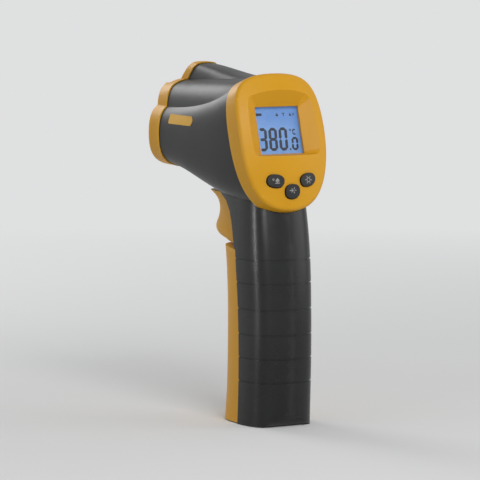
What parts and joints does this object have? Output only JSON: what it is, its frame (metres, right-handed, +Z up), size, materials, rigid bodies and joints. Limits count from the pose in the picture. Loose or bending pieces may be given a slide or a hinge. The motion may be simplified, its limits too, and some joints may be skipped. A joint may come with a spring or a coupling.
{
  "type": "infrared thermometer",
  "caption": "pistol-grip infrared thermometer with a tilted backlit display, keys under it, a hooked trigger, a hinged battery door down the grip's front and a hooded lens in the nose",
  "frame": {"origin": "centre of the flat base of the grip, on its underside", "axes": "+Z up along the grip, +Y the way the nose and lens point, +X to the right of the person holding it"},
  "size_m": [0.0418, 0.0892, 0.1512],
  "materials": {
    "body_black": "fine-textured black ABS, satin",
    "panel_black": "matt black ABS",
    "hood_black": "matt black, dull inside",
    "trim_yellow": "warm yellow ABS, satin",
    "key_rubber": "black silicone rubber",
    "window_clear": "clear window",
    "lcd_blue": "blue backlit display with dark digits",
    "backlight_white": "light guide",
    "holder_white": "white ABS",
    "board_green": "green solder mask",
    "switch_black": "moulded component",
    "plunger_white": "acetal",
    "lens_plastic": "cloudy infrared plastic",
    "window_red": "dark red window",
    "can_metal": "nickel-plated can",
    "laser_brass": "turned brass",
    "screw_steel": "zinc-plated steel",
    "pin_steel": "bright steel",
    "contact_nickel": "nickel-plated steel",
    "cell_case": "wrapped cell, plain grey"
  },
  "bodies": {
    "body": {"backlight_panel": "backlight_white", "battery_cell_left": "cell_case", "battery_cell_right": "cell_case", "battery_contacts": "contact_nickel", "battery_tray": "panel_black", "board_screws": "screw_steel", "buzzer": "switch_black", "contact_spring_left": "contact_nickel", "contact_spring_right": "contact_nickel", "display_bezel": "trim_yellow", "display_window": "window_clear", "door_hinge_pin": "pin_steel", "fresnel_lens": "lens_plastic", "front_panel": "panel_black", "housing_left": "body_black", "housing_right": "body_black", "housing_screws": "screw_steel", "key_switches": "switch_black", "laser_clamp": "panel_black", "laser_module": "laser_brass", "laser_window": "window_red", "lcd_glass": "lcd_blue", "lcd_holder": "holder_white", "lens_hood": "hood_black", "lens_retainer": "panel_black", "lens_tube": "panel_black", "main_board": "board_green", "microcontroller": "switch_black", "nose_bezel": "trim_yellow", "sensor_board": "board_green", "switch_carrier": "panel_black", "thermopile_sensor": "can_metal", "trigger_pin": "pin_steel", "trigger_spring": "pin_steel", "trigger_switch": "switch_black"},
    "trigger": {"trigger": "trim_yellow"},
    "switch_plunger": {"switch_plunger": "plunger_white"},
    "battery_door": {"battery_door": "trim_yellow"},
    "key_left": {"key_left": "key_rubber"},
    "key_middle": {"key_middle": "key_rubber"},
    "key_right": {"key_right": "key_rubber"}
  },
  "joints": [
    {"name": "trigger_pull", "type": "hinge", "parent": "body", "child": "trigger", "pos_m": [0, 0.0215, 0.0936], "axis": [-1, 0, 0], "range_deg": [0, 7], "stiffness_Nm_per_rad": 0.15, "springref_deg": -6.88},
    {"name": "plunger_slide", "type": "slide", "parent": "body", "child": "switch_plunger", "axis": [0, -1, 0], "range_m": [0, 0.0015]},
    {"name": "battery_door_hinge", "type": "hinge", "parent": "body", "child": "battery_door", "pos_m": [0, 0.0158, 0.0042], "axis": [-1, 0, 0], "range_deg": [0, 75]},
    {"name": "key_left_press", "type": "slide", "parent": "body", "child": "key_left", "axis": [0, 0.9608, -0.2773], "range_m": [0, 0.0006], "stiffness_N_per_m": 2000, "springref_m": -0.0003},
    {"name": "key_middle_press", "type": "slide", "parent": "body", "child": "key_middle", "axis": [0, 0.9608, -0.2773], "range_m": [0, 0.0006], "stiffness_N_per_m": 2000, "springref_m": -0.0003},
    {"name": "key_right_press", "type": "slide", "parent": "body", "child": "key_right", "axis": [0, 0.9608, -0.2773], "range_m": [0, 0.0006], "stiffness_N_per_m": 2000, "springref_m": -0.0003}
  ],
  "couplings": [
    {"joint": "plunger_slide", "follows": "trigger_pull", "m_per_rad": 0.012276}
  ]
}
